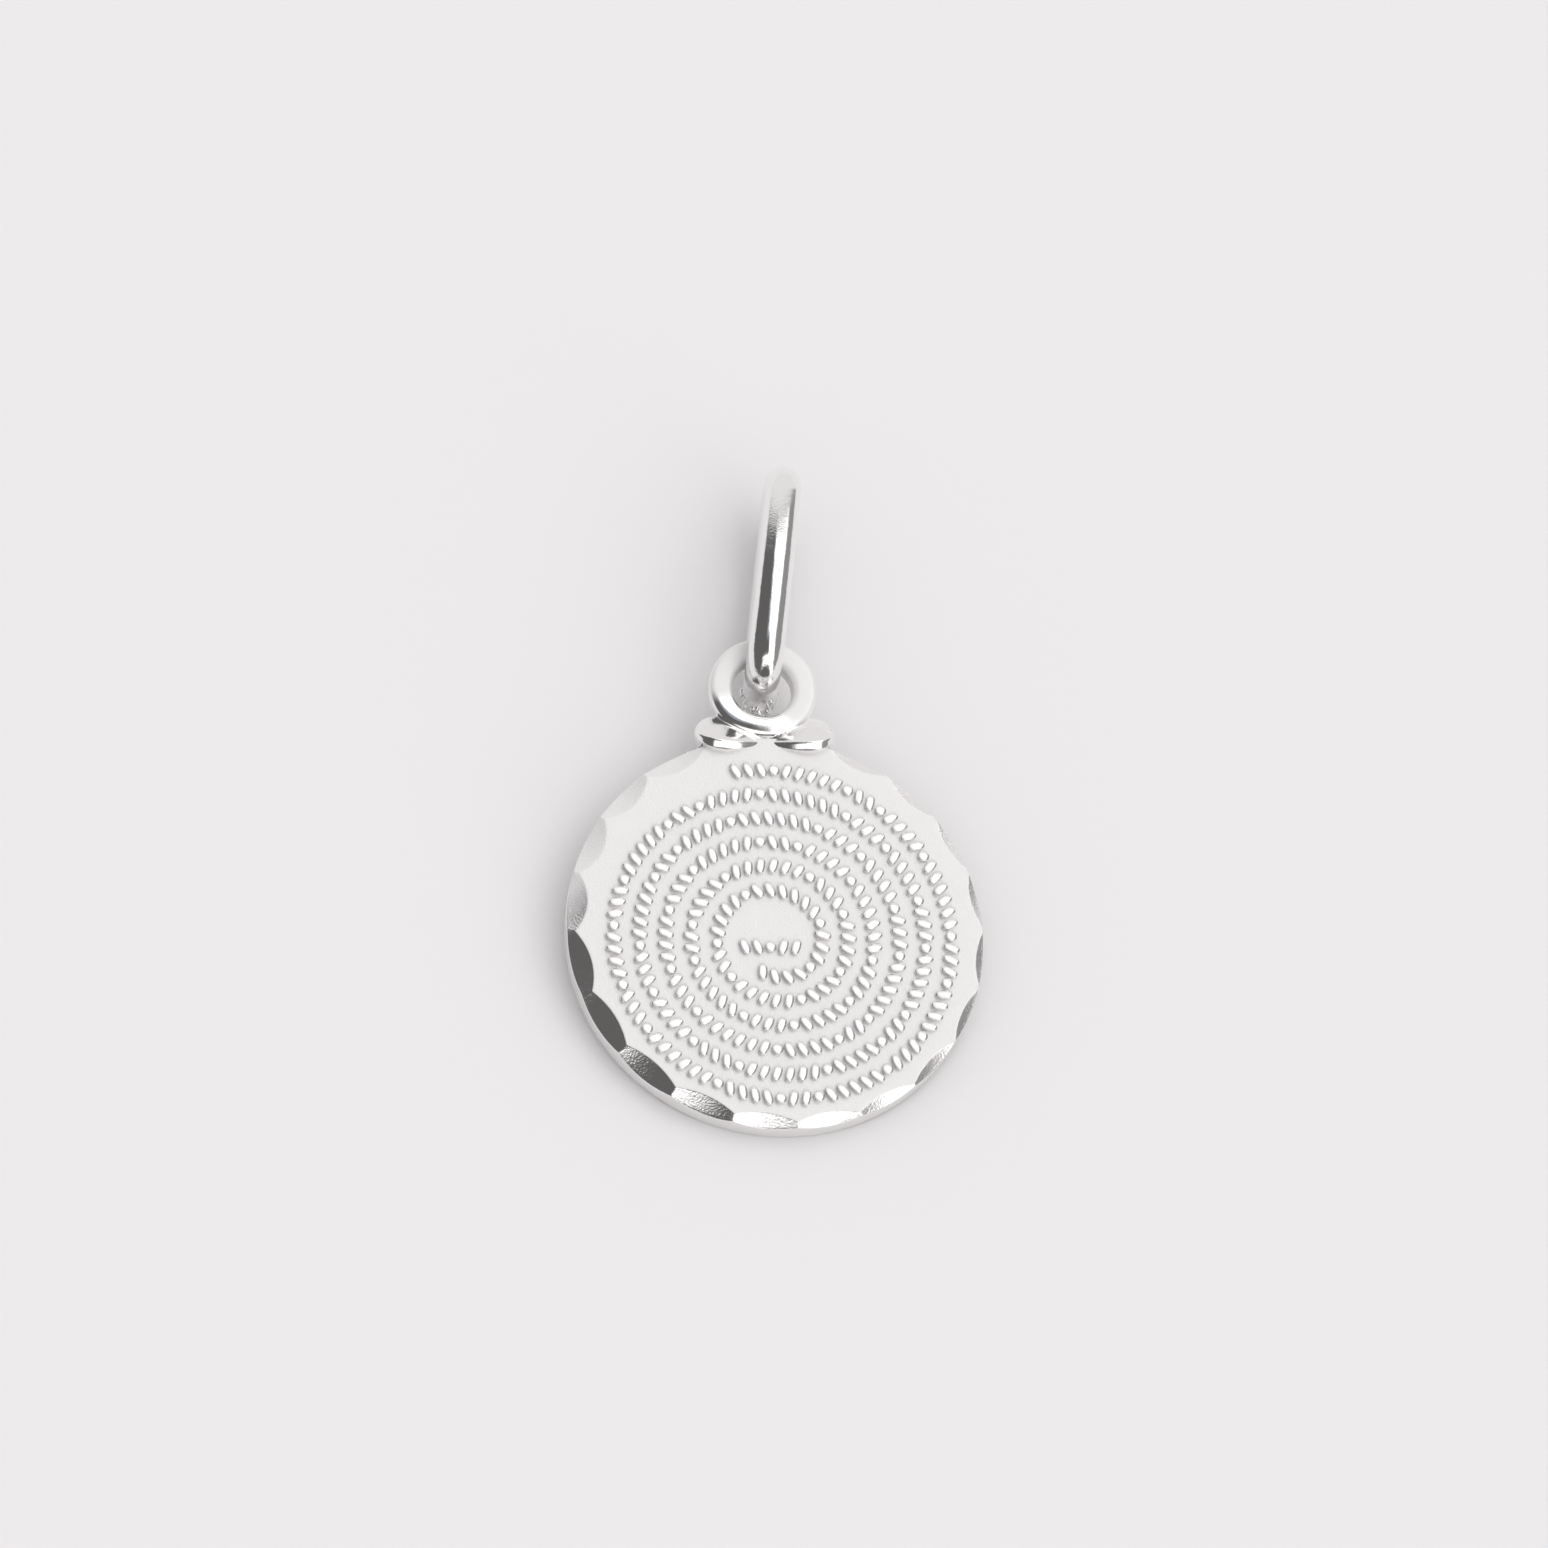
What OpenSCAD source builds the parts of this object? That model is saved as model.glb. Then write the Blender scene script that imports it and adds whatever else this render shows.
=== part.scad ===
// Disc pendant: a round silver medal with a scooped rim and raised relief, lying on a surface with
// its oval wire bail standing on edge. Millimetres. +Y runs towards the bail and +Z is up.
// The origin is under the middle of the whole pendant, on the surface that it lies on.

/* [Disc] */
// Diameter of the disc
disc_d = 15; // [13:0.5:20]
// Thickness of the disc
disc_t = 1; // [0.9:0.05:1.4]

/* [Rim cuts] */
// Number of scooped cuts that a whole rim would hold
cut_count = 20; // [16:1:26]
// Width of a cut on the face, inward from the rim
cut_w = 0.5; // [0.4:0.05:0.8]
// Height that a cut takes off the rim at its middle
cut_drop = 0.28; // [0.2:0.02:0.4]
// Radius of the scoop
scoop_r = 6.5; // [5:0.5:12]
// Distance that the ring of cuts lies off the disc's centre, towards +X
cut_shift = 0.22; // [0:0.01:0.3]
// Angle that the ring of cuts is turned from the pendant's axis
cut_turn = 1.6; // [0:0.2:3]

/* [Relief] */
// Height of the raised marks above the face
relief_h = 0.15; // [0.1:0.01:0.2]
// Plain strip between the rim cuts and the outermost turn of marks, where it is narrowest
rim_strip = 0.25; // [0.05:0.05:0.5]
// Distance that the spiral's centre lies below the disc's centre
spiral_shift = 0.32; // [0:0.02:0.4]
// Radius at which the spiral ends
spiral_end_r = 1.4; // [1.4:0.05:2.5]
// Strip between neighbouring turns
turn_gap = 0.33; // [0.2:0.01:0.6]
// Diameter of a bead at the face
bead_d = 0.42; // [0.3:0.01:0.44]
// Length of a grain, across the row
grain_l = 0.6; // [0.5:0.05:0.7]
// Width of a grain
grain_w = 0.26; // [0.16:0.01:0.28]
// Angle by which the grains of a run lean forwards or back along the row
grain_lean = 20; // [0:1:25]
// Gap between a bead and the next mark of its row, if that were a bead too
mark_gap = 0.04; // [0.03:0.01:0.15]
// Number of marks in the straight middle row
middle_marks = 5; // [3:2:5]
// Distance of the middle row below the spiral's centre
middle_drop = 0.3; // [0:0.05:0.3]

/* [Collar] */
// Width across both lobes of the collar
collar_w = 5.1; // [4:0.1:5.5]
// Thickness of a lobe where it is widest
lobe_d = 1.35; // [1:0.05:1.4]
// Distance of the lobes' widest place beyond the rim
lobe_rise = 0.2; // [0:0.02:0.3]
// Angle by which the lobes point down to the middle of the collar
lobe_slope = 8; // [0:1:12]

/* [Eye] */
// Diameter of the hole in the eye
eye_hole_d = 2.25; // [2.25:0.05:3]
// Width of the metal round the hole
eye_band = 0.78; // [0.5:0.02:0.8]
// Height of the eye
eye_h = 1.05; // [0.9:0.05:1.2]
// Distance of the eye's centre beyond the rim
eye_rise = 1.93; // [1.85:0.01:2.2]

/* [Bail] */
// Diameter of the wire
wire_d = 1.3; // [1:0.05:1.35]
// Outer length of the oval loop
bail_l = 9.4; // [8:0.1:11]
// Outer height of the oval loop
bail_h = 4.4; // [4.3:0.1:5]
// Outer radius of the loop's two ends
bail_end_r = 2; // [1.9:0.05:2.05]
// Angle by which the loop points to the right of the pendant's axis
bail_turn = 9; // [0:1:10]
// Angle by which the standing loop leans to the left
bail_lean = 3.5; // [0:0.5:5]
// Extra thickness of the wire where it is bent round at the loop's ends
bend_swell = 0.02; // [0.01:0.01:0.05]

/* [Fit] */
// Clearance between the wire and the eye's outer band, along the pendant
eye_gap = 0.2; // [0.2:0.05:0.4]
// Gap between the eye's outer band and the wire that it lies over
rest_gap = 0.12; // [0.1:0.01:0.2]
// Height of the eye and the collar above the plane of the disc's back
back_step = 0.06; // [0.03:0.01:0.15]

/* [Hidden] */
$fn = 96;
disc_r = disc_d / 2;
cut_angle = 360 / cut_count;
cut_slope = atan(cut_drop / cut_w);
eye_y = disc_r + eye_rise;
eye_in = eye_hole_d / 2;
eye_mid = eye_in + eye_band / 2;
lobe_r = lobe_d / 2;
lobe_y = disc_r + lobe_rise;
lobe_z = back_step + lobe_r;
wire_r = wire_d / 2;
// Half length and half height of the loop's middle line, and the radii of its end and side arcs
loop_a = bail_l / 2 - wire_r;
loop_b = bail_h / 2 - wire_r;
end_r = bail_end_r - wire_r;
end_x = loop_a - end_r;
side_r = (end_x * end_x + loop_b * loop_b - end_r * end_r) / (2 * (loop_b - end_r));
side_half = asin(end_x / (side_r - end_r));
side_y = side_r - loop_b;
bend_lap = 3;
// The wire's near end lies in the eye, and the eye's outer band lies over the loop's lower side
near_y = eye_y + eye_in - eye_gap - wire_d;
band_y = eye_y + eye_mid;
band_x = near_y + bail_l / 2 - band_y;
tilt = asin((loop_floor(band_x) + rest_gap - back_step) / (disc_r + band_y));
// Middle of the pendant's length, which becomes y = 0
low_y = -disc_r * cos(tilt) - (disc_t - cut_drop) * sin(tilt);
high_y = near_y + wire_d + 2 * loop_a * cos(bail_turn);
middle_y = (low_y + high_y) / 2;
// The spiral's pitch, its radius at the start, and how far apart its marks are
turn_pitch = grain_l + turn_gap;
spiral_r = disc_r - cut_w - rim_strip - grain_l / 2 - spiral_shift + turn_pitch / 2;
mark_pitch = bead_d + mark_gap;
mark_count = floor(PI * (pow(spiral_r, 2) - pow(spiral_end_r, 2)) / turn_pitch / mark_pitch);
start_angle = 102;
// Marks in each run of the relief, in order. A bead ends each run, and the others are grains.
RUNS = [4, 6, 3, 5, 7, 4, 5];

// Height of the inside of the loop's lower side above the surface, x from the loop's middle
function loop_floor(x) = x < (side_r - wire_r) * sin(side_half)
    ? bail_h / 2 + side_y - sqrt(pow(side_r - wire_r, 2) - x * x)
    : bail_h / 2 - sqrt(pow(end_r - wire_r, 2) - pow(x - end_x, 2));

// Marks in the first k runs, and the number of the run that mark i is in
function run_sum(k) = k == 0 ? 0 : RUNS[k - 1] + run_sum(k - 1);
function run_of(i) = let (set = run_sum(len(RUNS)))
    len([for (k = [1:len(RUNS)]) if (i % set >= run_sum(k)) k]) + floor(i / set) * len(RUNS);

// Radius of the spiral after a length s of it
function turn_r(s) = sqrt(pow(spiral_r, 2) - turn_pitch * s / PI);

// Flat round blank, whose edge starts and ends under the collar
module disc_blank() {
    rotate([0, 0, 89]) cylinder(r = disc_r, h = disc_t);
}

// One scooped cut at +X: a wide cylinder laid along a line that falls outward from the face
module scoop() {
    reach = 3;
    translate([disc_r - cut_w, 0, disc_t]) rotate([0, cut_slope, 0])
        translate([-reach / 6, 0, scoop_r]) rotate([0, 90, 0]) cylinder(r = scoop_r, h = reach, $fn = 180);
}

// The disc with its first k cuts. A whole set goes all round the rim except under the collar.
module cut_disc(k) {
    if (k == 0) disc_blank();
    else difference() {
        cut_disc(k - 1);
        translate([cut_shift, 0, 0]) rotate([0, 0, 90 + cut_turn + (k + 0.5) * cut_angle]) scoop();
    }
}

// Cap of a sphere that stands relief_h high on a circle of diameter d
module dome(d) {
    sphere_r = (d * d / 4 + relief_h * relief_h) / (2 * relief_h);
    translate([0, 0, relief_h - sphere_r]) sphere(r = sphere_r, $fn = 24);
}

// Straight grain with a round top that lies across the row, turned by an angle
module grain(lean) {
    round_z = relief_h - grain_w / 2;
    rotate([0, 0, lean]) {
        translate([-grain_l / 2, 0, round_z]) rotate([0, 90, 0]) cylinder(d = grain_w, h = grain_l, $fn = 16);
        translate([-grain_l / 2, -grain_w / 2, -relief_h]) cube([grain_l, grain_w, relief_h + round_z]);
    }
}

// Grains and beads along the inward clockwise spiral, and a short straight row in the middle
module relief() {
    for (i = [0:mark_count - 1]) {
        r = turn_r((i + 0.5) * mark_pitch);
        rotate([0, 0, start_angle - 360 * (spiral_r - r) / turn_pitch]) translate([r, 0, 0])
            if (run_of(i) != run_of(i + 1)) dome(bead_d);
            else grain(run_of(i) % 2 == 0 ? grain_lean : -grain_lean);
    }
    for (i = [0:middle_marks - 1]) translate([(i - middle_marks / 2) * mark_pitch, -middle_drop, 0])
        if (i == (middle_marks - 1) / 2) dome(bead_d);
        else rotate([0, 0, 90]) grain(i < middle_marks / 2 ? grain_lean : -grain_lean);
}

// Leaf-shaped lobe towards +X, round like an egg, with its point at the middle of the collar
module lobe() {
    steps = 12;
    length = collar_w / 2 + lobe_r / 4;
    leaf = [for (k = [0:steps]) let (w = 1 - k / steps, u = 1 - w * w)
        [lobe_r * 1.5 * sqrt(3) * u * w, length * u]];
    translate([0, lobe_y - tan(lobe_slope) * length * 2 / 3, lobe_z]) rotate([0, 0, lobe_slope])
        translate([-lobe_r / 4, 0, 0]) rotate([0, 90, 0]) rotate_extrude() polygon(leaf);
}

// Plate under the lobes, which joins them to the rim and the eye
module collar_plate() {
    plate_w = collar_w - lobe_r;
    root = 1.5 * lobe_r;
    translate([0, 0, back_step]) linear_extrude(height = lobe_r) difference() {
        translate([-plate_w / 2 - lobe_r, disc_r - root]) square([plate_w + lobe_d, root + lobe_rise]);
        for (side = [-1, 1]) translate([side * (plate_w / 2 + lobe_r), lobe_y]) circle(r = lobe_r);
    }
}

// Two lobes on their plate, cleared where the eye's hole is
module collar() {
    difference() {
        union() {
            collar_plate();
            lobe();
            mirror([1, 0, 0]) lobe();
        }
        translate([0, eye_y, 0]) cylinder(r = eye_mid, h = lobe_z + lobe_d);
    }
}

// Round ring of metal whose section is a rounded upright oblong
module eye_ring() {
    sides = 24;
    power = 2 / 2.4;
    section = [for (k = [0.5:sides]) let (a = k * 360 / sides)
        [eye_mid + eye_band / 2 * sign(cos(a)) * pow(abs(cos(a)), power),
            eye_h / 2 * sign(sin(a)) * pow(abs(sin(a)), power)]];
    translate([0, eye_y, back_step + eye_h / 2]) rotate_extrude() polygon(section);
}

// The medal is one piece of metal: disc, relief, collar and eye
module medal() {
    color("whitesmoke") translate([0, -middle_y, disc_r * sin(tilt)]) rotate([tilt, 0, 0]) {
        cut_disc(cut_count - 2);
        translate([0, -spiral_shift, disc_t]) relief();
        collar();
        eye_ring();
    }
}

// Part of the wire loop: an arc of radius r about a point of the loop's own plane
module wire_arc(x, y, r, from, sweep, d) {
    translate([x, y, 0]) rotate([0, 0, from])
        rotate_extrude(angle = sweep) translate([r, 0]) circle(d = d, $fn = 32);
}

// Oval loop of round wire, standing on its lower side. Its bent ends lap a little over its sides.
module bail() {
    bend_half = 90 - side_half + bend_lap;
    color("silver") translate([0, near_y + wire_r - middle_y, bail_h / 2]) rotate([0, -bail_lean, -bail_turn])
        translate([0, loop_a, 0]) rotate([90, 0, 90]) for (k = [0, 1]) rotate([0, 0, 180 * k]) {
            wire_arc(end_x, 0, end_r, -bend_half, 2 * bend_half, wire_d + bend_swell);
            wire_arc(0, -side_y, side_r, 90 - side_half, 2 * side_half, wire_d);
        }
}

medal();
bail();
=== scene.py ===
import bpy
import numpy as np
from mathutils import Matrix


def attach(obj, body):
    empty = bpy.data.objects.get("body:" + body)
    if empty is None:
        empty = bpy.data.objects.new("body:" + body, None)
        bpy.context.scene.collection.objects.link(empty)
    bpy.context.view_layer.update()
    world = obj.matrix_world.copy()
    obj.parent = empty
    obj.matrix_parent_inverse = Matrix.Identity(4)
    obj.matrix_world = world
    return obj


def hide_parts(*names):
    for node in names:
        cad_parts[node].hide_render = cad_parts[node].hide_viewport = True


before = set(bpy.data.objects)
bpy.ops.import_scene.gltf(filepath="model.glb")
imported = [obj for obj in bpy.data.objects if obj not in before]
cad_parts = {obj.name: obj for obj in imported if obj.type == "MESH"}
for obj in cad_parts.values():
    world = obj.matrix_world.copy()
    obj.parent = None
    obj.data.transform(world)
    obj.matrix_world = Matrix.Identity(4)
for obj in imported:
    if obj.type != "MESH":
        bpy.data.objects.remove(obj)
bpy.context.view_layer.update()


# Medal blank: a flat round of silver, cast in one with all that stands on it, with a plain back
# and a matt white face. Its rim carries scooped bright cuts all round except under the collar. A
# round tool milled each of them at a slant, so neighbours meet in sharp radial ridges.
disc_r, disc_t = 7.5, 1.0
edge_round, foot_round, ridge_soft = 0.05, 0.07, 0.006
cut_count, cut_turn, cut_shift = 20, 1.6, 0.22
cut_w, scoop_r = 0.5, 6.5
cut_turns = np.radians(90 + cut_turn + 360 / cut_count * (np.arange(1, cut_count - 1) + 0.5))
cut_slopes = np.radians([18, 16, 15, 15, 22, 28, 31, 31, 31, 30, 30, 29, 29, 26, 24, 22, 20, 18])
medal_tilt, medal_drop = np.radians(4.879), 5.4106


def lay_medal(points):
    """Turns points of the flat medal by its tilt about X, and sets its low edge on the surface."""
    x, y, z = np.moveaxis(np.asarray(points, float), -1, 0)
    c, s = np.cos(medal_tilt), np.sin(medal_tilt)
    return np.stack([x, y * c - z * s - medal_drop, y * s + z * c + disc_r * s], -1)


def rim_height(x, y, soft=0.0):
    """Height of the top. A cut's floor falls by its slope with the distance outward, and rises to
    each side as a circle does. The lowest of the cuts and the flat face counts. soft rounds the
    ridges between them, as the logarithm of a sum of exponentials does."""
    x, y = (x - cut_shift)[..., None], y[..., None]
    outward = x * np.cos(cut_turns) + y * np.sin(cut_turns)
    aside = y * np.cos(cut_turns) - x * np.sin(cut_turns)
    rise = scoop_r - np.sqrt(scoop_r ** 2 - np.minimum(np.abs(aside), 0.9 * scoop_r) ** 2)
    floor = disc_t - (outward - disc_r + cut_w) * np.tan(cut_slopes) + rise / np.cos(cut_slopes)
    floor = np.concatenate([floor, np.full(floor.shape[:-1] + (1,), disc_t)], -1)
    low = floor.min(-1)
    return low - soft * np.log(np.exp((low[..., None] - floor) / soft).sum(-1)) if soft else low


def ring_faces(rows, columns, wrap_rows=False):
    """Four-sided faces of a grid whose columns close round, and whose rows close too if asked."""
    i, j = np.meshgrid(np.arange(rows if wrap_rows else rows - 1), np.arange(columns), indexing="ij")
    a, b = i * columns, (i + 1) % rows * columns
    k = (j + 1) % columns
    return np.stack([a + j, b + j, b + k, a + k], -1).reshape(-1, 4)


def capped(rings, first, last):
    """Grid of rings closed by a point at each end: the corners and the faces."""
    rows, columns = rings.shape[:2]
    points = np.vstack([rings.reshape(-1, 3), [first, last]])
    j = np.arange(columns)
    k = (j + 1) % columns
    end = (rows - 1) * columns
    top = np.stack([j, k, np.full(columns, rows * columns)], -1)
    low = np.stack([end + k, end + j, np.full(columns, rows * columns + 1)], -1)
    return points, ring_faces(rows, columns).tolist() + top.tolist() + low.tolist()


def silver_shell(name, points, faces):
    """Closed smooth mesh from corners in millimetres and faces. Where the volumes between the
    origin and its triangles add up to less than nought, it is turned so that its faces point
    out."""
    points = np.asarray(points, float) * 0.001
    mesh = bpy.data.meshes.new(name)
    mesh.from_pydata(points.tolist(), [], [list(f) for f in faces])
    mesh.update()
    mesh.calc_loop_triangles()
    triangles = np.zeros(len(mesh.loop_triangles) * 3, np.int32)
    mesh.loop_triangles.foreach_get("vertices", triangles)
    a, b, c = (points[triangles.reshape(-1, 3)[:, n]] for n in range(3))
    if np.einsum("ij,ij->", a, np.cross(b, c)) < 0:
        mesh.flip_normals()
    mesh.polygons.foreach_set("use_smooth", np.ones(len(mesh.polygons), bool))
    piece = bpy.data.objects.new(name, mesh)
    bpy.context.scene.collection.objects.link(piece)
    return piece


def blank_rings(columns=1080):
    """Rings of the disc from the middle of its face, over the cuts, down the wall and back under.
    At each angle one ring lies where the cut's floor leaves the face, a place that is found by
    halving. Quarter circles round the wall's upper and lower edge."""
    angle = np.linspace(0, 2 * np.pi, columns, endpoint=False)
    c, s = np.cos(angle), np.sin(angle)
    inner, outer = np.full(columns, disc_r - 2), np.full(columns, disc_r)
    for step in range(30):
        middle = (inner + outer) / 2
        on_face = rim_height(middle * c, middle * s) > disc_t - 1e-9
        inner, outer = np.where(on_face, middle, inner), np.where(on_face, outer, middle)
    start = np.minimum(inner, disc_r - edge_round - 0.1)
    floor_w = disc_r - edge_round - start - 0.06
    radii = [start * f for f in (0.25, 0.5, 0.7, 0.85, 0.95)]
    radii += [start + d for d in (-0.12, -0.06, -0.03, -0.01, 0.01, 0.03, 0.06)]
    radii += [start + 0.06 + floor_w * f for f in np.linspace(0, 1, 14)[1:]]
    rings = [np.stack([r * c, r * s, rim_height(r * c, r * s, ridge_soft)], -1) for r in radii]
    edge_z = rings[-1][:, 2]
    floor_slope = np.radians(23)
    for turn in np.radians([40, 55, 70, 90]):
        r = disc_r - edge_round * (1 - np.sin(turn))
        z = edge_z - edge_round * (np.cos(floor_slope) - np.cos(turn))
        rings.append(np.stack([r * c, r * s, z], -1))
    rim_z = rings[-1][:, 2]
    for f in (0.25, 0.5, 0.75):
        rings.append(np.stack([disc_r * c, disc_r * s, rim_z * (1 - f) + foot_round * f], -1))
    for turn in np.radians([0, 30, 60, 90]):
        r = disc_r - foot_round * (1 - np.cos(turn))
        rings.append(np.stack([r * c, r * s, np.full(columns, foot_round * (1 - np.sin(turn)))], -1))
    for f in (0.9, 0.6, 0.3):
        rings.append(np.stack([disc_r * f * c, disc_r * f * s, np.zeros(columns)], -1))
    return np.array(rings)


def keep_matt(piece, share):
    """Writes into a piece how matt each corner is, from nought to one, as its frost value."""
    piece.data.attributes.new("frost", "FLOAT", "POINT").data.foreach_set("value", share)


def silver(name, colour, rough, grain, wave, matt, crust=0):
    """Polished silver: metal whose gloss drifts a little, with a fine grain and a slow waviness,
    both in millimetres. With the mesh's frost value the roughness rises towards matt, and the
    metal fades under the white skin of pickled silver. A crust height in millimetres adds the
    lumps and pits of solder there."""
    material = bpy.data.materials.new(name)
    material.use_nodes = True
    nodes, link = material.node_tree.nodes, material.node_tree.links.new

    def ranged(value, low, high):
        """Share between nought and one spread from low to high, where low may be a socket."""
        node = nodes.new("ShaderNodeMapRange")
        node.inputs["To Max"].default_value = high
        if isinstance(low, (int, float)):
            node.inputs["To Min"].default_value = low
        else:
            link(low, node.inputs["To Min"])
        link(value, node.inputs["Value"])
        return node

    def raised(height, distance, under=None):
        """Normal of the surface under it, raised by a height times a distance in millimetres."""
        node = nodes.new("ShaderNodeBump")
        node.inputs["Strength"].default_value = 1
        node.inputs["Distance"].default_value = distance * 0.001
        link(height, node.inputs["Height"])
        if under is not None:
            link(under, node.inputs["Normal"])
        return node.outputs["Normal"]

    place, millimetres = nodes.new("ShaderNodeTexCoord"), nodes.new("ShaderNodeMapping")
    millimetres.inputs["Scale"].default_value = (1000, 1000, 1000)
    link(place.outputs["Object"], millimetres.inputs["Vector"])
    fine, slow, gloss = (nodes.new("ShaderNodeTexNoise") for n in range(3))
    for noise, scale, detail in ((fine, 14, 3), (slow, 1.1, 1), (gloss, 2.5, 4)):
        noise.inputs["Scale"].default_value = scale
        noise.inputs["Detail"].default_value = detail
        link(millimetres.outputs["Vector"], noise.inputs["Vector"])
    frost = nodes.new("ShaderNodeAttribute")
    frost.attribute_name = "frost"
    drift = ranged(gloss.outputs["Fac"], rough * 0.7, rough * 1.4)
    drift.inputs["From Min"].default_value, drift.inputs["From Max"].default_value = 0.3, 0.7
    roughness = ranged(frost.outputs["Fac"], drift.outputs["Result"], matt)
    skin = ranged(frost.outputs["Fac"], 1, 0.4)
    normal = raised(slow.outputs["Fac"], wave)
    normal = raised(fine.outputs["Fac"], grain, normal)
    if crust:
        lumps = nodes.new("ShaderNodeMath")
        lumps.operation = "MULTIPLY"
        link(fine.outputs["Fac"], lumps.inputs[0])
        link(frost.outputs["Fac"], lumps.inputs[1])
        normal = raised(lumps.outputs[0], crust, normal)
    metal = nodes["Principled BSDF"]
    metal.inputs["Base Color"].default_value = (*colour, 1)
    metal.inputs["Metallic"].default_value = 1
    link(skin.outputs["Result"], metal.inputs["Metallic"])
    link(roughness.outputs["Result"], metal.inputs["Roughness"])
    link(normal, metal.inputs["Normal"])
    return material


corners, sides = capped(blank_rings(), [0, 0, disc_t], [0, 0, 0])
blank = silver_shell("medal_disc", lay_medal(corners), sides)
x, y, z = corners.T
face = (1 - np.clip((disc_t - rim_height(x, y)) / 0.01, 0, 1)) * (z > disc_t - 0.02)
upper_left_cuts = np.clip(((y - x) / disc_r - 0.95) * 4, 0, 0.9) * (z > 0.55)
keep_matt(blank, np.maximum(face, upper_left_cuts))
cast_white = (0.93, 0.92, 0.915)
blank.data.materials.append(silver("blank_silver", cast_white, 0.14, 0.013, 0.008, 0.5))
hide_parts("medal")
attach(blank, "root")


# Relief: small puffy grains and round beads that stand up from the face of the same casting. They
# follow a clockwise spiral towards the middle, where a short straight row lies. They come in runs,
# each of which ends with a bead, and whose grains lean to the one side or to the other.
relief_h, grain_size, bead_size = 0.15, (0.62, 0.33), (0.42, 0.42)
rim_strip, turn_pitch, mark_pitch, mark_count = 0.25, 0.93, 0.46, 305
spiral_shift, spiral_turn, grain_lean = 0.32, np.radians(102), np.radians(20)
middle_marks, middle_drop = 5, 0.3
run_lengths = (4, 6, 3, 5, 7, 4, 5)


def oblong(angle, power):
    """Outline between a circle, at a power of two, and an oblong, at more: the cosine and the
    sine, each raised to two over the power, with its own sign."""
    return (np.sign(f(angle)) * np.abs(f(angle)) ** (2 / power) for f in (np.cos, np.sin))


def mark_shape(length, width, power, columns=16):
    """Puffy mark: level by level, a rounded oblong outline, upright at the foot and then bevelled
    to a gently domed top. It starts a little below the face."""
    c, s = oblong(np.linspace(0, 2 * np.pi, columns, endpoint=False), power)
    levels = ((0.4, 1), (0.74, 0.975), (0.79, 0.95), (0.97, 0.75), (1, 0.68), (1.02, 0.2),
              (1.03, -0.3))
    rings = [np.stack([c * length / 2 * r, s * width / 2 * r, np.full(columns, z * relief_h)], -1)
             for r, z in levels]
    return capped(np.array(rings), [0, 0, relief_h], [0, 0, -0.3 * relief_h])


def repeated(faces, corner_count, times):
    """Faces of a shape that is repeated, each copy with its own run of corners."""
    return [[k + n * corner_count for k in f] for n in range(times) for f in faces]


def marks_at(shape, x, y, turn):
    """The shape's corners turned about Z and moved, once for each place, with the faces. The tops
    lean a little to the front left, as the die was cut."""
    points, faces = shape
    c, s = np.cos(turn)[:, None], np.sin(turn)[:, None]
    px, py, pz = points.T
    lean = np.interp(pz / relief_h, [0.6, 0.975], [0, 0.045])
    moved = np.stack([x[:, None] + px * c - py * s - lean, y[:, None] + px * s + py * c - lean,
                      np.broadcast_to(pz + disc_t, (len(x), len(pz)))], -1)
    return moved.reshape(-1, 3), repeated(faces, len(points), len(x))


def mark_places():
    """Places, turns and kinds of all marks. The spiral's radius squared falls by the same amount
    from mark to mark, because each takes the strip of one turn along one pitch."""
    start_r = disc_r - cut_w - rim_strip - grain_size[0] / 2 - spiral_shift + turn_pitch / 2
    mark = np.arange(mark_count)
    radius = np.sqrt(start_r ** 2 - turn_pitch * (mark + 0.5) * mark_pitch / np.pi)
    around = spiral_turn - 2 * np.pi * (start_r - radius) / turn_pitch
    run_ends = np.cumsum(np.tile(run_lengths, mark_count // sum(run_lengths) + 1))
    run = np.searchsorted(run_ends, np.append(mark, mark_count), side="right")
    is_last, run = run[1:] != run[:-1], run[:-1]
    row = np.arange(middle_marks) - middle_marks / 2
    x = np.append(radius * np.cos(around), row * mark_pitch)
    y = np.append(radius * np.sin(around), row * 0 - middle_drop) - spiral_shift
    turn = np.append(around + np.where(run % 2 == 0, grain_lean, -grain_lean),
                     np.pi / 2 + np.where(row < 0, grain_lean, -grain_lean))
    return x, y, turn, np.append(is_last, row == -0.5)


mark_x, mark_y, mark_turn, is_bead = mark_places()
medal_silver = silver("medal_silver", cast_white, 0.2, 0.002, 0.006, 0.42)
for name, shape, chosen in (("relief_grains", mark_shape(*grain_size, 2.6), ~is_bead),
                            ("relief_beads", mark_shape(*bead_size, 2), is_bead)):
    corners, sides = marks_at(shape, mark_x[chosen], mark_y[chosen], mark_turn[chosen])
    piece = silver_shell(name, lay_medal(corners), sides)
    keep_matt(piece, np.clip((corners[:, 2] - disc_t) / relief_h * 20 - 19, 0, 0.45))
    piece.data.materials.append(medal_silver)
    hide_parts("medal")
    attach(piece, "root")


# Collar and eye: two leaf-shaped lobes at the top of the disc, and a stout round eye above them.
# All are cast in one with the disc, so their joints are soft hollows, and polishing rounds them.
# The top of the eye keeps the matt white skin, and the side towards the disc is bright.
eye_y, eye_hole_r, eye_band, eye_h, back_step = 9.43, 1.125, 0.78, 1.05, 0.06
collar_w, lobe_r, lobe_swell, lobe_y, lobe_slope = 5.1, 0.675, 0.08, 7.7, np.radians(8)
plate_root, skin_voxel = 0.9, 0.03


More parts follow.
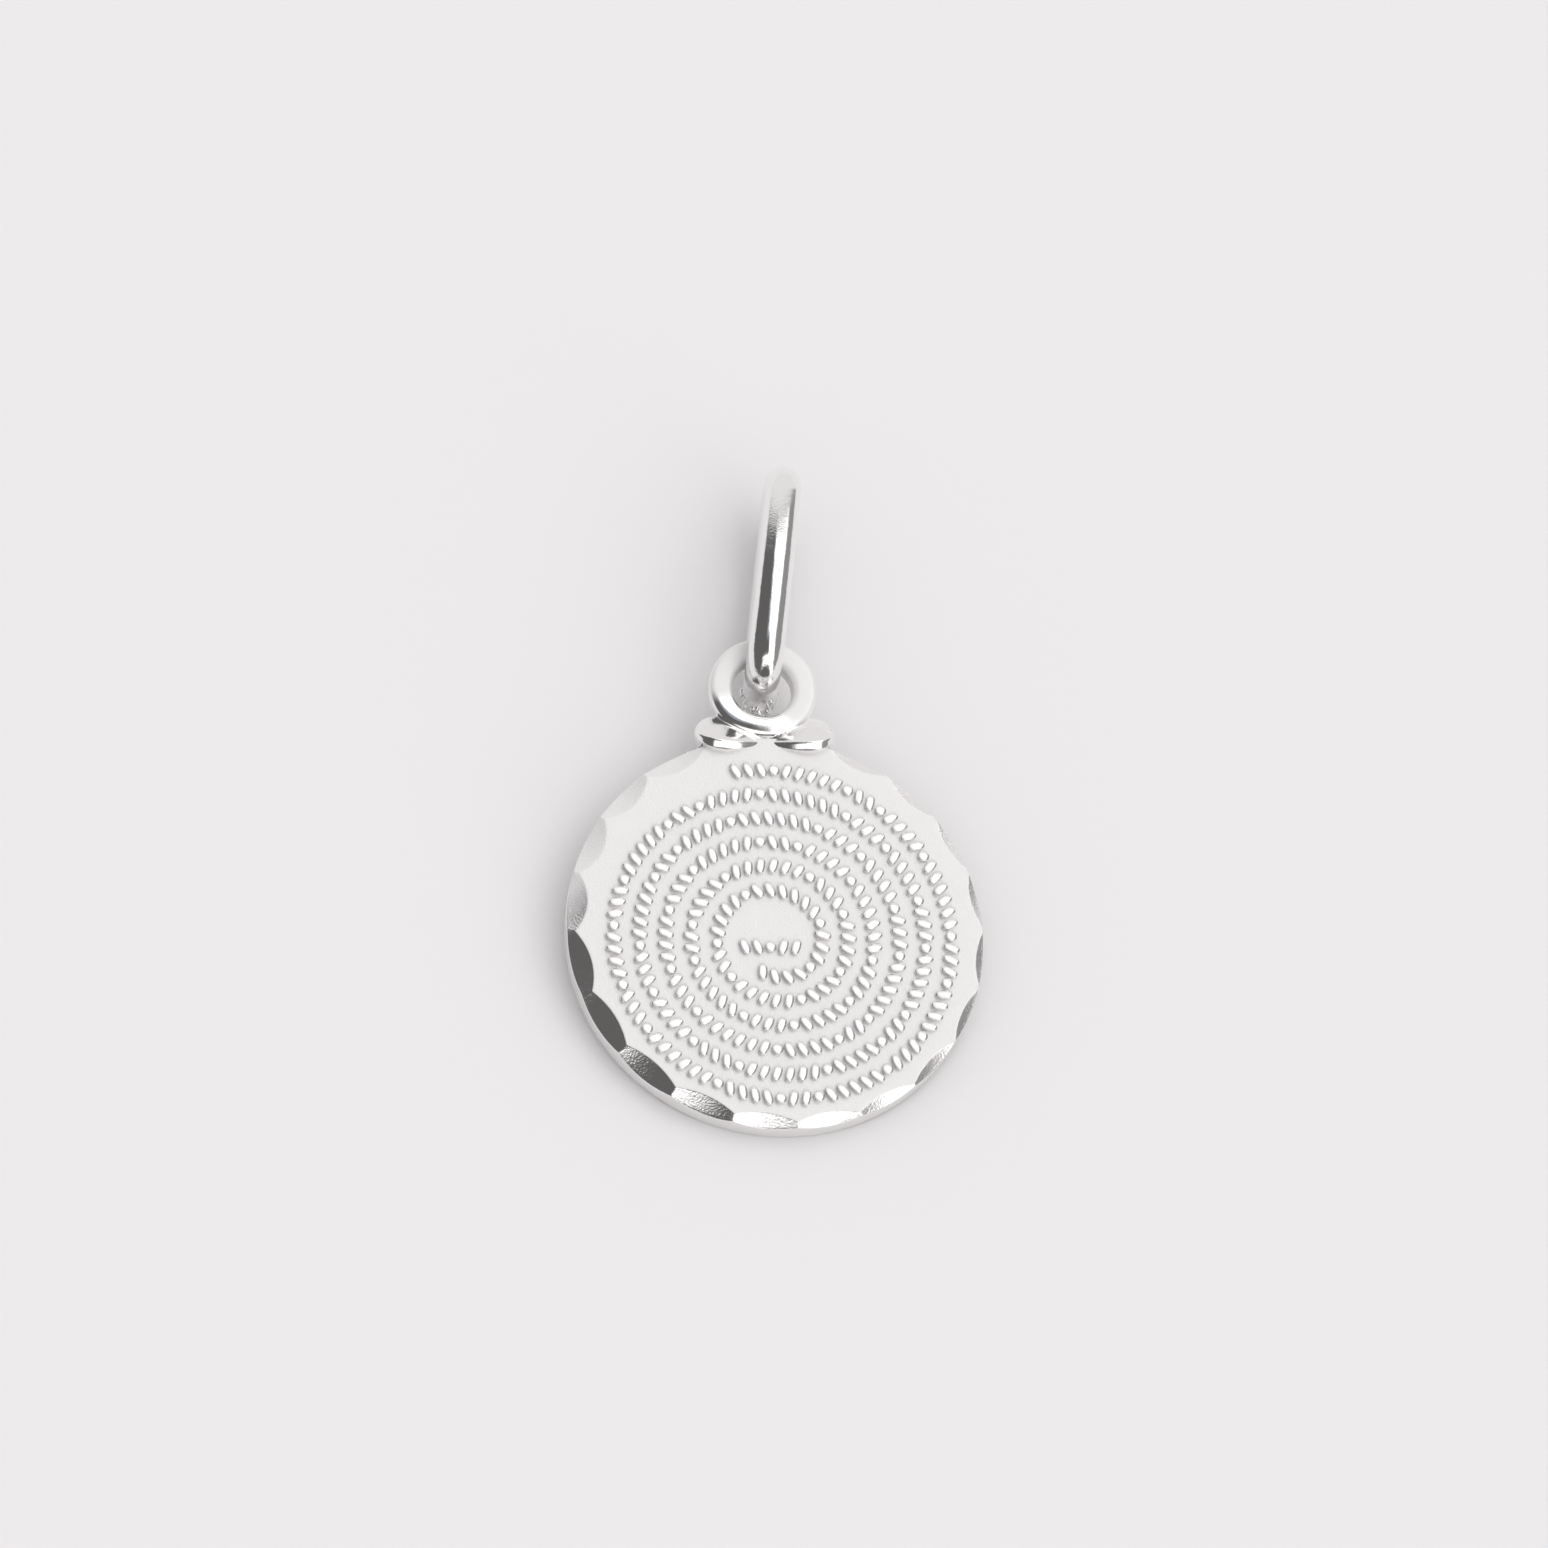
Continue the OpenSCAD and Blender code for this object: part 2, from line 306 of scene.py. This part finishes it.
def eye_ring(rows=120, columns=64):
    """Section carried round a circle. Each quarter of it is a rounded oblong of its own power:
    the upper outer one is crisp at the far side and round towards the disc, where the crest of
    the ring also lies nearer to the hole."""
    turn = np.linspace(0, 2 * np.pi, rows, endpoint=False)[:, None]
    a = np.linspace(0, 2 * np.pi, columns, endpoint=False)
    outside, above = np.cos(a) > 0, np.sin(a) > 0
    near = (1 - np.sin(turn + np.radians(8))) / 2
    c, s = oblong(a, np.where(above, np.where(outside, 6 - 4 * near ** 3, 4), 2.4))
    middle = eye_hole_r + eye_band / 2
    crest = np.where(above, middle - 0.12 * near ** 2, middle)
    reach = eye_band / 2 + np.where(outside, middle - crest, crest - middle) + 0.05 * above
    r = crest + reach * c
    z = back_step + eye_h / 2 * (1 + s)
    ring = np.stack([r * np.cos(turn), eye_y + r * np.sin(turn), z], -1)
    return ring.reshape(-1, 3), ring_faces(rows, columns, True)


def lobe(side, rows=60, columns=64):
    """Leaf about its own long line, which leans down to the middle. The radius at a share u of
    its length is u times the root of one minus u, over the greatest such value. The section has
    a crisp crest near its front, a steep face before it, a gentle one behind and a half circle
    below."""
    fall = 1 - np.linspace(0.02, 0.999, rows)
    u = 1 - fall ** 2
    crest_x, crest_z = -0.65, 0.93
    t = np.linspace(0, 1, columns // 4, endpoint=False)
    back_x, back_z = 1 + (crest_x - 1) * t, crest_z * (1 - (1 - t) ** 1.25)
    front = [0, 0.1, 0.6, 0.75, 1]
    front_x = np.interp(t, front, [crest_x, -0.69, -0.98, -1, -1])
    front_z = np.interp(t, front, [crest_z, 0.9, 0.68, 0.5, 0])
    low = np.linspace(0, -np.pi, columns // 2, endpoint=False)
    across = np.concatenate([back_x, front_x, -np.cos(low)])
    up = np.concatenate([back_z, front_z, np.sin(low)])
    r = ((lobe_r + lobe_swell) * 1.5 * np.sqrt(3) * u * fall)[:, None]
    length = collar_w / 2 + lobe_r / 4
    along = (length * u - lobe_r / 4)[:, None]
    c, s = np.cos(lobe_slope), np.sin(lobe_slope)
    root_y = lobe_y - np.tan(lobe_slope) * length * 2 / 3
    x, y = along * c - r * across * s, root_y + along * s + r * across * c
    rings = np.stack([side * x, y, r * up + back_step + lobe_r], -1)
    return capped(rings, rings[0].mean(0), rings[-1].mean(0))


def plate():
    """Flat plate under the lobes, between two levels. Its outline has a hollow quarter circle at
    each end."""
    half = (collar_w - lobe_r) / 2
    t = np.linspace(-np.pi / 2, 0, 10)
    hollow_x, hollow_y = half + lobe_r - lobe_r * np.cos(t), lobe_y + lobe_r * np.sin(t)
    x = np.concatenate([[half + lobe_r], hollow_x, -hollow_x[::-1], [-half - lobe_r]])
    y = np.concatenate([[disc_r - plate_root], hollow_y, hollow_y[::-1], [disc_r - plate_root]])
    rings = np.stack([np.stack([x, y, np.full(len(x), z)], -1) for z in (back_step, back_step + lobe_r)])
    middle_y = disc_r - 0.1
    return capped(rings, [0, middle_y, back_step], [0, middle_y, back_step + lobe_r])


# The four shapes become one skin at a thousand times their size, because a voxel can't be as small
# as 0.03 mm in metres. They are laid in place after that.
shapes, base, sides = [], 0, []
for corners, faces in (eye_ring(), lobe(1), lobe(-1), plate()):
    shapes.append(corners)
    sides += [[k + base for k in f] for f in faces]
    base += len(corners)
collar = silver_shell("medal_collar", np.vstack(shapes) * 1000, sides)
bpy.context.view_layer.objects.active = collar
for kind, settings in (("REMESH", {"mode": "VOXEL", "voxel_size": skin_voxel}),
                       ("SMOOTH", {"factor": 0.5, "iterations": 5})):
    step = collar.modifiers.new(kind.lower(), kind)
    for key, value in settings.items():
        setattr(step, key, value)
    bpy.ops.object.modifier_apply(modifier=step.name)
corners = np.zeros(len(collar.data.vertices) * 3)
collar.data.vertices.foreach_get("co", corners)
corners = corners.reshape(-1, 3)
collar.data.vertices.foreach_set("co", (lay_medal(corners) * 0.001).ravel())
collar.data.polygons.foreach_set("use_smooth", np.ones(len(collar.data.polygons), bool))
collar.data.update()
keep_matt(collar, np.clip((corners[:, 1] + np.clip(corners[:, 0], 0, 1) - 8.8) / 0.5, 0, 1))
collar.data.materials.append(silver("collar_silver", cast_white, 0.12, 0.0015, 0.006, 0.5))
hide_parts("medal")
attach(collar, "root")


# Bail: an oval loop of round silver wire that stands on edge through the eye. The joint of its
# ends lies inside the eye, where the solder has left a low swelling under the wire, and small
# rough lumps and beads on that.
wire_r, bail_l, bail_h, bail_end_r = 0.65, 9.4, 4.4, 2.0
bail_turn, bail_lean, near_y = np.radians(9), np.radians(3.5), 9.055
solder_at, solder_h, lump_count, drop_count = -0.7, 0.18, 130, 46


def loop_line():
    """Middle line of the loop in its own plane: two tight end arcs and two wide side arcs that
    meet them without a kink. It starts at the near end's tip and goes over the top, and its
    steps are finest at the solder. Gives each point and its distance along the line, which is
    below nought before the tip."""
    a, b, r = bail_l / 2 - wire_r, bail_h / 2 - wire_r, bail_end_r - wire_r
    end_x = a - r
    side_r = (end_x ** 2 + b ** 2 - r ** 2) / (2 * (b - r))
    half = np.arcsin(end_x / (side_r - r))
    t = np.linspace(0, np.pi / 2 - half, 200)
    tip = np.stack([end_x + r * np.cos(t), r * np.sin(t)], -1)
    t = np.linspace(half, 0, 200)[1:]
    side = np.stack([side_r * np.sin(t), b - side_r + side_r * np.cos(t)], -1)
    quarter = np.vstack([tip, side])
    upper = np.vstack([quarter * [-1, 1], quarter[::-1][1:]])
    line = np.vstack([upper, (upper * [1, -1])[::-1][1:]])
    at = np.append(0, np.cumsum(np.linalg.norm(np.diff(line, axis=0), axis=1)))
    fine_from = at[-1] - 2.4
    want = np.append(np.linspace(0, fine_from, 300), np.linspace(fine_from, at[-1], 121)[1:-1])
    points = np.stack([np.interp(want, at, line[:, n]) for n in range(2)], -1)
    return points, np.where(want > at[-1] / 2, want - at[-1], want)


def solder(along, around):
    """Height of the solder above the wire: one low swelling on the outside under the near end's
    tip, and small lumps on it, each a bell curve of the distance from its own place."""
    rng = np.random.default_rng(5)
    height = solder_h * np.exp(-((along - solder_at) / 0.42) ** 2 - (around / 0.8) ** 2)
    for n in range(lump_count):
        place, turn = rng.uniform(-1.1, -0.3), rng.normal(0, 0.5)
        wide, tall = rng.uniform(0.05, 0.1), rng.uniform(0.03, 0.08)
        height += tall * np.exp(-((along - place) / wide) ** 2 - ((around - turn) * wire_r / wide) ** 2)
    return height


def bail_surface(columns=160):
    """A circle carried along the loop's line, square to it, and raised by the solder. The middle
    column lies on the loop's outside. Gives the surface, the distance of each ring along the
    line, and the height of the solder."""
    line, along = loop_line()
    ahead = np.roll(line, -1, 0) - np.roll(line, 1, 0)
    ahead /= np.linalg.norm(ahead, axis=1)[:, None]
    outward = np.stack([-ahead[:, 1], ahead[:, 0]], -1)
    a = np.linspace(-np.pi, np.pi, columns, endpoint=False)
    height = solder(along[:, None], a)
    r = wire_r + height
    flat = line[:, None] + (r * np.cos(a))[..., None] * outward[:, None]
    x = r * np.sin(a)
    y, z = flat[..., 0] + bail_l / 2 - wire_r, flat[..., 1]
    c, s = np.cos(bail_lean), np.sin(bail_lean)
    x, z = x * c - z * s, x * s + z * c
    c, s = np.cos(bail_turn), np.sin(bail_turn)
    x, y = x * c + y * s, y * c - x * s
    return np.stack([x, y + near_y + wire_r - medal_drop, z + bail_h / 2], -1), along, height


def solder_drops(surface, along):
    """Small balls, each a little longer one way than another, set at random on the solder."""
    polar = np.linspace(0, np.pi, 8)[1:-1, None]
    turn = np.linspace(0, 2 * np.pi, 12, endpoint=False)
    rings = np.stack([np.sin(polar) * np.cos(turn), np.sin(polar) * np.sin(turn),
                      np.cos(polar) + 0 * turn], -1)
    ball, faces = capped(rings, [0, 0, 1], [0, 0, -1])
    rng = np.random.default_rng(3)
    rows = rng.choice(np.flatnonzero((along > -0.8) & (along < -0.3)), drop_count)
    columns = np.clip(rng.normal(82, 13, drop_count), 50, 110).astype(int)
    radius = rng.uniform(0.06, 0.14, drop_count)[:, None, None]
    stretch = rng.uniform(0.7, 1.2, (drop_count, 1, 3))
    drops = surface[rows, columns][:, None] + ball * radius * stretch
    return drops.reshape(-1, 3), repeated(faces, len(ball), drop_count)


surface, along, height = bail_surface()
bail = silver_shell("bail_wire", surface.reshape(-1, 3), ring_faces(*surface.shape[:2], True))
keep_matt(bail, np.clip(height.ravel() / 0.12, 0, 0.5))
drops = silver_shell("solder_beads", *solder_drops(surface, along))
bail_silver = silver("bail_silver", (0.93, 0.925, 0.92), 0.07, 0.005, 0.014, 0.15, crust=0.08)
for piece in (bail, drops):
    piece.data.materials.append(bail_silver)
    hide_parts("bail")
    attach(piece, "root")


# Surface: a large sheet of matt white card, laid flat. The pendant rests on it with the disc's
# lower rim and the lower side of the bail.
half = 0.6
card_corners = [(-half, -half, 0), (half, -half, 0), (half, half, 0), (-half, half, 0)]
sheet = bpy.data.objects.new("surface", bpy.data.meshes.new("surface"))
sheet.data.from_pydata(card_corners, [], [(0, 1, 2, 3)])
bpy.context.scene.collection.objects.link(sheet)
card = bpy.data.materials.new("white_card")
card.use_nodes = True
card.node_tree.nodes["Principled BSDF"].inputs["Base Color"].default_value = (0.887, 0.876, 0.883, 1)
card.node_tree.nodes["Principled BSDF"].inputs["Roughness"].default_value = 0.8
sheet.data.materials.append(card)


# Light: a soft box above and to the right, a bright one low behind the camera, a pale wall at the
# back, a small cool window and a dim room, all far away. Matt surfaces get a more even light from
# them than mirrors do, and the camera itself sees plain pale air.
box_light, window_light, room_light, pale_air = 1.4, 0.4, 0.12, 0.85
back_wall_light, right_wall_light = 0.8, 0.28
warm_white, cool_white = (1, 0.985, 0.98, 1), (0.85, 0.93, 1.06, 1)
world = bpy.data.worlds.new("studio")
bpy.context.scene.world = world
world.use_nodes = True
nodes, link = world.node_tree.nodes, world.node_tree.links.new
nodes.clear()
way = nodes.new("ShaderNodeTexCoord").outputs["Generated"]
rays = nodes.new("ShaderNodeLightPath").outputs


def maths(kind, a, b):
    """One number from two, each a plain number or another node's output."""
    node = nodes.new("ShaderNodeMath")
    node.operation = kind
    for n, value in enumerate((a, b)):
        if isinstance(value, (int, float)):
            node.inputs[n].default_value = value
        else:
            link(value, node.inputs[n])
    return node.outputs[0]


def beyond(line, limit, soft):
    """One where a direction reaches past a limit along a line, nought where it doesn't, with a
    smooth step between them that is soft wide on each side."""
    reach, step = nodes.new("ShaderNodeVectorMath"), nodes.new("ShaderNodeMapRange")
    reach.operation, step.interpolation_type = "DOT_PRODUCT", "SMOOTHSTEP"
    reach.inputs[1].default_value = line
    link(way, reach.inputs[0])
    step.inputs["From Min"].default_value = limit - soft
    step.inputs["From Max"].default_value = limit + soft
    link(reach.outputs["Value"], step.inputs["Value"])
    return step.outputs["Result"]


def all_of(first, *others):
    """Product of several shares."""
    for other in others:
        first = maths("MULTIPLY", first, other)
    return first


def swapped(kind, value, other):
    """One value for most rays, and another for rays of a kind."""
    node = nodes.new("ShaderNodeMix")
    node.data_type = "FLOAT"
    link(rays[kind], node.inputs[0])
    link(value, node.inputs[2])
    if isinstance(other, float):
        node.inputs[3].default_value = other
    else:
        link(other, node.inputs[3])
    return node.outputs[0]


right_side = maths("MAXIMUM", beyond((1, 0, 0), 0.14, 0.05),
                   all_of(beyond((1, 0.6, 0), 0.14, 0.05), beyond((0, 1, 0), 0, 0.02)))
top_box = all_of(right_side, beyond((-1, 0, 0), -0.72, 0.05), beyond((-0.1, -1, 0), -0.61, 0.02),
                 beyond((0, 1, 0), -0.87, 0.05))
front_box = all_of(beyond((0, -1, 0), 0.62, 0.06), beyond((1, 0, 0), -0.4, 0.1),
                   beyond((-1, 0, 0), -0.55, 0.1), beyond((0, 1, 0), -0.87, 0.05))
window = all_of(beyond((1, 0, 0), -0.16, 0.1), beyond((-1, 0, 0), -0.2, 0.06),
                beyond((0, 1, 0), -0.1, 0.1), beyond((0, -1, 0), -0.64, 0.03))
boxes = maths("MAXIMUM", top_box, front_box)
mirrored = room_light
for share, light in ((boxes, box_light), (window, window_light),
                     (beyond((0.1, 1, 0), 0.64, 0.03), back_wall_light),
                     (beyond((1, 0, 0), 0.72, 0.05), right_wall_light)):
    mirrored = maths("MAXIMUM", mirrored, maths("MULTIPLY", share, light))
even = maths("ADD", maths("MULTIPLY", boxes, 0.5), 0.8)
tint = nodes.new("ShaderNodeMix")
tint.data_type = "RGBA"
tint.inputs[6].default_value, tint.inputs[7].default_value = warm_white, cool_white
link(all_of(window, maths("SUBTRACT", 1, boxes)), tint.inputs[0])
sky = nodes.new("ShaderNodeBackground")
link(tint.outputs[2], sky.inputs["Color"])
strength = swapped("Is Camera Ray", swapped("Is Diffuse Ray", mirrored, even), pale_air)
link(strength, sky.inputs["Strength"])
link(sky.outputs[0], nodes.new("ShaderNodeOutputWorld").inputs["Surface"])
bpy.context.scene.view_settings.view_transform = "Standard"


# Camera: a long lens that looks down on the pendant from the front left, turned a little in its
# own plane, with the whole pendant in the middle of the picture.
azimuth, elevation, roll = np.radians([-19.724, 60, 18.352])
distance, half_view, aim = 400, 27.725, np.array([0, 0, 1.0])
aside, above = 0.377, 1.054
back = np.array([np.sin(azimuth) * np.cos(elevation), -np.cos(azimuth) * np.cos(elevation),
                 np.sin(elevation)])
level = np.array([np.cos(azimuth), np.sin(azimuth), 0])
upright = np.cross(back, level)
right = np.cos(roll) * level + np.sin(roll) * upright
upward = np.cos(roll) * upright - np.sin(roll) * level
camera = bpy.data.objects.new("camera", bpy.data.cameras.new("camera"))
camera.data.sensor_width = 36
camera.data.lens = camera.data.sensor_width / 2 * distance / half_view
camera.data.clip_start = 0.01
bpy.context.scene.collection.objects.link(camera)
pose = np.eye(4)
pose[:3, :3] = np.stack([right, upward, back], -1)
pose[:3, 3] = (aim + aside * right + above * upward + distance * back) * 0.001
camera.matrix_world = Matrix(pose.tolist())
bpy.context.scene.camera = camera
